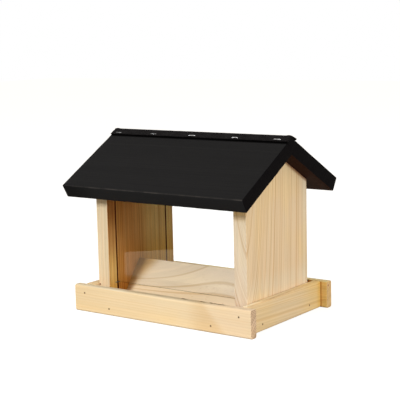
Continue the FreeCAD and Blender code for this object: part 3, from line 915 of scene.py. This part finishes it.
def makeRubber():
    material, tree = openMaterial("ridge_rubber")
    spot = put(tree, "TexCoord").outputs["Object"]
    mottle = cloud(tree, spot, 900.0, 3.0)
    dusty = cloud(tree, spot, 90.0, 3.0)
    colour = tint(tree, remap(tree, mottle, 0.45, 0.75), paint(*strip["colour"]), paint(*strip["dust"]))
    facing = put(tree, "TexCoord").outputs["Normal"]
    # Painted shade: faces that look down, the strip's lower edges, are near black.
    colour = tint(tree, remap(tree, dot(tree, facing, -up), 0.1, 0.4), colour, paint(*strip["paintedDarkEdge"]))
    roughness = remap(tree, dusty, 0.3, 0.7, 0.6, 0.8)
    closeMaterial(tree, colour, roughness, mottle, {"Specular IOR Level": 0.03}, 0.6, 0.3)
    return material


def drawSection(shape, centre, thickness, flap):
    front, frontOut = slopeOf(-1)
    back = slopeOf(1)[0]
    inner = strip["innerRadius"] * mm
    rims = []
    for radius in (inner + thickness, inner):
        start = shape.verts.new(centre + frontOut * radius)
        arc = bmesh.ops.spin(
            shape, geom=[start], cent=centre, axis=right, angle=-2 * math.radians(roof["slope"]),
            steps=strip["arcSteps"], use_duplicate=False,
        )
        last = next(item for item in arc["geom_last"] if isinstance(item, bmesh.types.BMVert))
        ends = []
        for vert, direction in ((start, front), (last, back)):
            grown = bmesh.ops.extrude_vert_indiv(shape, verts=[vert])
            bmesh.ops.translate(shape, vec=direction * flap, verts=grown["verts"])
            ends.append(grown["verts"][0])
        rims.append(ends)
    for top, under in zip(*rims):
        shape.edges.new((top, under))
    longEdges = [edge for edge in shape.edges if edge.calc_length() > 5 * mm]
    bmesh.ops.subdivide_edges(shape, edges=longEdges, cuts=5)
    return bmesh.ops.contextual_create(shape, geom=shape.edges[:])["faces"]


def wearStrip(shape, low, high, apex, thickness, flap):
    for vert in shape.verts:
        side = -1 if vert.co.y < 0 else 1
        downhill, outward = slopeOf(side)
        place = vert.co - apex
        down = max(0.0, place.dot(downhill)) / flap
        out = min(1.0, max(0.0, place.dot(outward) / thickness))
        along = vert.co.x / mm
        lump = noise.noise(Vector((along / strip["lumpLength"], side * 3, down * 2)))
        vert.co += outward * out * lump * strip["unevenness"] * mm
        wave = noise.noise(Vector((along / strip["waveLength"], side * 5, 0))) - 0.2
        vert.co += downhill * down * wave * strip["edgeWave"] * mm
        rag = abs(noise.noise(Vector((vert.co.y / mm * 0.45, vert.co.z / mm * 0.45, side))))
        nearEnd = min(vert.co.x - low.x, high.x - vert.co.x) / mm
        if nearEnd < 1.0:
            vert.co.x -= math.copysign(rag * strip["ragged"] * mm, vert.co.x)
        rise, span = strip["crestLift"]
        swell = max(0.0, 1 - abs(nearEnd - span / 2) / (span / 2)) * max(0.0, 1 - 2.5 * down)
        vert.co += up * rise * swell * mm
        if side > 0 and along > 0:
            curl = max(0.0, 1 - (high.x / mm - along) / strip["liftReach"]) ** 2
            vert.co += outward * curl * down * strip["endLift"] * mm


def makeStrip():
    low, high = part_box("ridge_strip_front_flap")
    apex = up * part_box("roof_front_board")[1].z
    front, frontOut = slopeOf(-1)
    thickness = reach("ridge_strip_front_flap", frontOut) - apex.dot(frontOut)
    flap = reach("ridge_strip_front_flap", front) - apex.dot(front)
    inner = strip["innerRadius"] * mm
    centre = apex - up * inner / math.cos(math.radians(roof["slope"])) + right * low.x
    shape = bmesh.new()
    section = drawSection(shape, centre, thickness, flap)
    pulled = bmesh.ops.extrude_face_region(shape, geom=section)["geom"]
    pulled = [item for item in pulled if isinstance(item, bmesh.types.BMVert)]
    bmesh.ops.translate(shape, vec=right * (high.x - low.x), verts=pulled)
    bmesh.ops.recalc_face_normals(shape, faces=shape.faces)
    arrises = [edge for edge in shape.edges if edge.calc_face_angle(0) > 1.2]
    ease(shape, arrises, strip["edge"] * mm, 2)
    clear = strip["endClear"] * mm
    crossCut(shape, right, low.x + clear, high.x - clear, strip["cutStep"] * mm)
    wearStrip(shape, low, high, apex, thickness, flap)
    return settle(shape, "ridge_strip", "feeder", makeRubber())


def layStrip():
    piece = makeStrip()
    world = piece.matrix_world.copy()
    piece.parent = None
    piece.matrix_world = world
    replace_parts(piece, "ridge_strip_front_flap", "ridge_strip_back_flap")
    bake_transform(piece)
    print("ridge strip laid")


# clear panes

sheet = {
    "clear": (0.985, 0.992, 0.99, 1),
    "index": 1.4,
    "paintedDarkEdge": (74, 56, 34),
}


def makeClear():
    material, tree = openMaterial("clear_sheet")
    glass = put(tree, "BsdfPrincipled")
    glass.inputs["Base Color"].default_value = sheet["clear"]
    glass.inputs["Roughness"].default_value = 0.0
    glass.inputs["IOR"].default_value = sheet["index"]
    glass.inputs["Transmission Weight"].default_value = 1.0
    # Painted dark line: the pane's top and bottom cut edges are a dull brown, standing in for how a clear
    # edge looks dark.
    cut = put(tree, "BsdfDiffuse", {"Color": paint(*sheet["paintedDarkEdge"])})
    facing = dot(tree, put(tree, "TexCoord").outputs["Normal"], up)
    edge = calc(tree, "GREATER_THAN", calc(tree, "ABSOLUTE", facing), 0.7)
    mix = put(tree, "MixShader", {0: edge, 1: glass.outputs[0], 2: cut.outputs[0]})
    clear = put(tree, "BsdfTransparent")
    path = put(tree, "LightPath")  # lamps and the sky shine through to the wood behind
    for ray in ("Is Diffuse Ray", "Is Shadow Ray"):
        mix = put(tree, "MixShader", {0: path.outputs[ray], 1: mix.outputs[0], 2: clear.outputs[0]})
    out = put(tree, "OutputMaterial")
    tree.links.new(mix.outputs[0], out.inputs["Surface"])
    return material


# fasteners

fasteners = {
    "wireWidth": 1.2,
    "wireThickness": 0.6,
    "bendRadius": 0.8,
    "bendSteps": 5,
    "bow": 0.12,
    "lidSinks": (0.42, 0.25, 0.0, 0.2, 0.0),  # crowns below the solids', from the left
    "nailSink": 0.28,  # heads below the solids', most of which stand 0.1 out of the wood
    "headRadius": 1.0,
    "headThickness": 0.5,
    "headDish": 0.12,
    "shankRadius": 0.7,
    "headSegments": 16,
    "tip": 2.0,
    "dimReach": (-70.0, -10.0),  # mm along the ridge, where the painted shade on the steel ends
}


def makeSteel(name, colour, roughness, dull=1.0):
    material, tree = openMaterial(name)
    spot = put(tree, "TexCoord").outputs["Object"]
    scuff = cloud(tree, spot, 1500.0, 2.0)
    shade = tint(tree, scuff, paint(*colour), paint(*[part * 0.8 for part in colour]))
    # Painted shade: the steel is darker towards the left, as if it caught less light.
    dimmedPart = remap(tree, dot(tree, spot, right / mm), *fasteners["dimReach"], 1.0, 0.0)
    shade = tint(tree, dimmedPart, shade, tint(tree, 1.0, shade, (dull, dull, dull, 1), "MULTIPLY"))
    rough = remap(tree, scuff, 0.3, 0.7, roughness - 0.08, roughness + 0.08)
    closeMaterial(tree, shade, rough, scuff, {"Metallic": 1.0}, 0.2, 0.05)
    return material


def sweep(shape, face, moves):
    for move in moves:
        grown = bmesh.ops.extrude_face_region(shape, geom=[face])["geom"]
        verts = [item for item in grown if isinstance(item, bmesh.types.BMVert)]
        bmesh.ops.transform(shape, matrix=move, verts=verts)
        face = next(item for item in grown if isinstance(item, bmesh.types.BMFace))


def gather(shape, piece, place):
    bmesh.ops.recalc_face_normals(piece, faces=piece.faces)
    bmesh.ops.transform(piece, matrix=place, verts=piece.verts)
    mesh = bpy.data.meshes.new("one_of_many")
    piece.to_mesh(mesh)
    piece.free()
    shape.from_mesh(mesh)
    bpy.data.meshes.remove(mesh)


def bendStaple(shape, crown, leg, place):
    width = fasteners["wireWidth"] * mm
    thick = fasteners["wireThickness"] * mm
    radius = fasteners["bendRadius"] * mm
    piece = bmesh.new()
    bmesh.ops.create_grid(piece, x_segments=1, y_segments=1, size=0.5)
    bmesh.ops.scale(piece, vec=(thick, width, 1), verts=piece.verts)
    bmesh.ops.translate(piece, vec=((thick - crown) / 2, 0, -leg), verts=piece.verts)
    steps = fasteners["bendSteps"]
    corner = -thick / 2 - radius
    moves = [Matrix.Translation(up * (leg + corner))]
    for side in (-1, 1):
        pivot = Vector((side * (crown / 2 + corner), 0, corner))
        quarter = Matrix.Rotation(math.radians(90 / steps), 4, "Y")
        moves += [Matrix.Translation(pivot) @ quarter @ Matrix.Translation(-pivot)] * steps
        if side < 0:
            span = (crown + 2 * corner) / 4
            for rise in (0.7, 0.3, -0.3, -0.7):
                moves.append(Matrix.Translation((span, 0, rise * fasteners["bow"] * mm)))
    moves.append(Matrix.Translation(-up * (leg + corner)))
    sweep(piece, piece.faces[:][0], moves)
    gather(shape, piece, place)


def driveStaples(node, name, body, crownWay, outwardOf, material, sinks=(0.0,)):
    shape = bmesh.new()
    groups = sorted(islands(node), key=lambda group: min(point.x for point in group))
    for number, group in enumerate(groups):
        middle = sum(group, Vector()) / len(group)
        outward = outwardOf(middle)
        centre = headOf(group, outward)
        centre -= outward * sinks[number % len(sinks)] * mm
        turn = Matrix((crownWay, outward.cross(crownWay), outward)).transposed().to_4x4()
        place = Matrix.Translation(centre) @ turn
        bendStaple(shape, spread(group, crownWay), spread(group, outward), place)
    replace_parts(settle(shape, name, body, material), node)


def forgeNail(shape, length, place):
    head, shank = fasteners["headRadius"] * mm, fasteners["shankRadius"] * mm
    thick = fasteners["headThickness"] * mm
    piece = bmesh.new()
    bmesh.ops.create_cone(
        piece, cap_ends=True, segments=fasteners["headSegments"], radius1=shank, radius2=head,
        depth=thick, matrix=Matrix.Translation(up * -thick / 2),
    )
    faces = sorted(piece.faces, key=lambda face: face.calc_center_median().z)
    foot, cap = faces[0], faces[-1]
    bmesh.ops.inset_region(piece, faces=[cap], thickness=head * 0.45)
    bmesh.ops.translate(piece, vec=-up * fasteners["headDish"] * mm, verts=cap.verts)
    tip = fasteners["tip"] * mm
    sweep(piece, foot, (
        Matrix.Translation(up * (thick + tip - length)),
        Matrix.Translation(-up * tip) @ Matrix.Diagonal((0.15, 0.15, 1, 1)),
    ))
    gather(shape, piece, place)


def driveNails(node, name, outward, material):
    shape = bmesh.new()
    turn = outward.to_track_quat("Z", "Y").to_matrix().to_4x4()
    sink = fasteners["nailSink"] * mm
    for group in islands(node):
        centre = headOf(group, outward) - outward * sink
        forgeNail(shape, spread(group, outward) - sink, Matrix.Translation(centre) @ turn)
    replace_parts(settle(shape, name, "feeder", material), node)


def makeFasteners():
    nail = makeSteel("nail_wire", (48, 27, 13), 0.85)
    staple = makeSteel("staple_wire", (215, 212, 208), 0.35, 0.36)
    for node, outward in railNails.values():
        driveNails(node, node + "_heads", outward, nail)
    driveNails("roof_nails", "roof_nails_heads", slopeOf(1)[1], nail)
    for node in ("wall_nails", "divider_pins"):  # these lie wholly inside the wood, heads too
        driveNails(node, node + "_heads", -up, nail)
    driveStaples(
        "lid_staples", "lid_staple_wires", "roof_lid", right,
        lambda spot: slopeOf(-1)[1], staple, fasteners["lidSinks"],
    )
    driveStaples(
        "roof_back_staples", "back_staple_wires", "feeder", right,
        lambda spot: slopeOf(1)[1], staple,
    )
    driveStaples(
        "pane_stop_staples", "pane_stop_wires", "feeder", away,
        lambda spot: right if spot.x < 0 else -right, staple,
    )
    print("fasteners made")


# floor, world and lamps

studio = {
    "ambient": 0.57,
    "ambientColour": (1.0, 0.88, 0.72, 1.0),
    "throughPanes": 1.25,  # what is seen through a pane is this much brighter
    "floorSize": 6.0,  # metres, from the middle to each side
    "floorColour": (0.35, 0.35, 0.35, 1.0),
    "floorGlow": 0.78,
    "floorShare": (0.46, 0.46, 0.46, 1.0),
    "floorMirrored": (1.12, 0.98, 0.72, 1.0),  # the floor in reflections
    "aim": (0, 0, 0.12),  # where both lamps point
    "key": {"place": (-0.78, -2.84, 1.36), "size": 0.6, "power": 80.0, "colour": (0.82, 0.90, 1.0)},
    "fill": {"place": (2.4, -0.42, 0.65), "size": 0.8, "power": 33.0, "colour": (0.80, 0.89, 1.0)},
}


def directlySeen(tree):
    path = put(tree, "LightPath")
    seen = calc(tree, "MAXIMUM", path.outputs["Is Camera Ray"], path.outputs["Is Glossy Ray"])
    seen = calc(tree, "MAXIMUM", seen, path.outputs["Is Transmission Ray"])
    direct = calc(tree, "LESS_THAN", path.outputs["Diffuse Depth"], 0.5)
    return calc(tree, "MULTIPLY", seen, direct)


def mirrored(tree):
    path = put(tree, "LightPath")
    return calc(tree, "GREATER_THAN", path.outputs["Glossy Depth"], 0.5)


def makeWorld():
    world = bpy.data.worlds.new("studio")
    bpy.context.scene.world = world
    world.use_nodes = True
    tree = world.node_tree
    tree.nodes.clear()
    path = put(tree, "LightPath")
    bright = remap(
        tree, path.outputs["Transmission Depth"], 0.0, 1.0, 1.0, studio["throughPanes"], smooth=False,
    )
    shown = put(tree, "Background", {"Color": (1, 1, 1, 1), "Strength": bright})
    glow = {"Color": studio["ambientColour"], "Strength": studio["ambient"]}
    ambient = put(tree, "Background", glow)
    mix = put(tree, "MixShader", {0: directlySeen(tree), 1: ambient.outputs[0], 2: shown.outputs[0]})
    out = put(tree, "OutputWorld")
    tree.links.new(mix.outputs[0], out.inputs["Surface"])


def makeFloor():
    material, tree = openMaterial("pale_floor")
    plain = put(tree, "BsdfDiffuse", {"Color": studio["floorColour"]})
    share = put(tree, "BsdfDiffuse", {"Color": studio["floorShare"]})
    path = put(tree, "LightPath")
    bright = remap(
        tree, path.outputs["Transmission Depth"], 0.0, 1.0,
        studio["floorGlow"], studio["floorGlow"] * studio["throughPanes"], smooth=False,
    )
    glow = put(tree, "Emission", {"Color": (1, 1, 1, 1), "Strength": bright})
    shown = put(tree, "AddShader", {0: share.outputs[0], 1: glow.outputs[0]})
    image = put(tree, "Emission", {"Color": studio["floorMirrored"], "Strength": 1.0})
    shown = put(tree, "MixShader", {0: mirrored(tree), 1: shown.outputs[0], 2: image.outputs[0]})
    mix = put(tree, "MixShader", {0: directlySeen(tree), 1: plain.outputs[0], 2: shown.outputs[0]})
    out = put(tree, "OutputMaterial")
    tree.links.new(mix.outputs[0], out.inputs["Surface"])
    shape = bmesh.new()
    bmesh.ops.create_grid(shape, x_segments=1, y_segments=1, size=studio["floorSize"])
    mesh = bpy.data.meshes.new("floor")
    shape.to_mesh(mesh)
    shape.free()
    mesh.materials.append(material)
    floor = bpy.data.objects.new("floor", mesh)
    floor.location = (0, 0, cadBounds[0].z)
    bpy.context.scene.collection.objects.link(floor)


darkPanel = {  # mm; stands at the front left, and only reflections show it
    "start": (-359.0, -372.0),
    "direction": (0.672, -0.740),
    "reach": (-100.0, 420.0),
    "height": 400.0,
}


def makeDarkPanel():
    material, tree = openMaterial("dark_panel")
    clear = put(tree, "BsdfTransparent")
    matt = put(tree, "BsdfDiffuse", {"Color": (0.01, 0.01, 0.01, 1)})
    mix = put(tree, "MixShader", {0: mirrored(tree), 1: clear.outputs[0], 2: matt.outputs[0]})
    out = put(tree, "OutputMaterial")
    tree.links.new(mix.outputs[0], out.inputs["Surface"])
    start = Vector((*darkPanel["start"], 0)) * mm
    line = Vector((*darkPanel["direction"], 0)) * mm
    shape = bmesh.new()
    ends = [shape.verts.new(start + line * reach) for reach in darkPanel["reach"]]
    edge = shape.edges.new(ends)
    raised = bmesh.ops.extrude_edge_only(shape, edges=[edge])["geom"]
    raised = [item for item in raised if isinstance(item, bmesh.types.BMVert)]
    bmesh.ops.translate(shape, vec=up * darkPanel["height"] * mm, verts=raised)
    mesh = bpy.data.meshes.new("dark_panel")
    shape.to_mesh(mesh)
    shape.free()
    mesh.materials.append(material)
    panel = bpy.data.objects.new("dark_panel", mesh)
    bpy.context.scene.collection.objects.link(panel)
    panel.visible_camera = False
    panel.visible_diffuse = False
    panel.visible_shadow = False


def hangLamp(name, lamp):
    data = bpy.data.lights.new(name, "AREA")
    data.shape = "SQUARE"
    data.size = lamp["size"]
    data.energy = lamp["power"]
    data.color = lamp["colour"]
    seat = bpy.data.objects.new(name, data)
    place = Vector(lamp["place"])
    seat.location = place
    seat.rotation_euler = (Vector(studio["aim"]) - place).to_track_quat("-Z", "Y").to_euler()
    bpy.context.scene.collection.objects.link(seat)


placeCamera()
makeWorld()
makeFloor()
makeDarkPanel()
hangLamp("key", studio["key"])
hangLamp("fill", studio["fill"])
bpy.context.scene.view_settings.view_transform = "Standard"
print("studio set")

makeRails()
dressBoards()
makeRoof()
layStrip()
clear = makeClear()
for pane in ("front_pane", "back_pane"):
    dress(pane, clear)
makeFasteners()
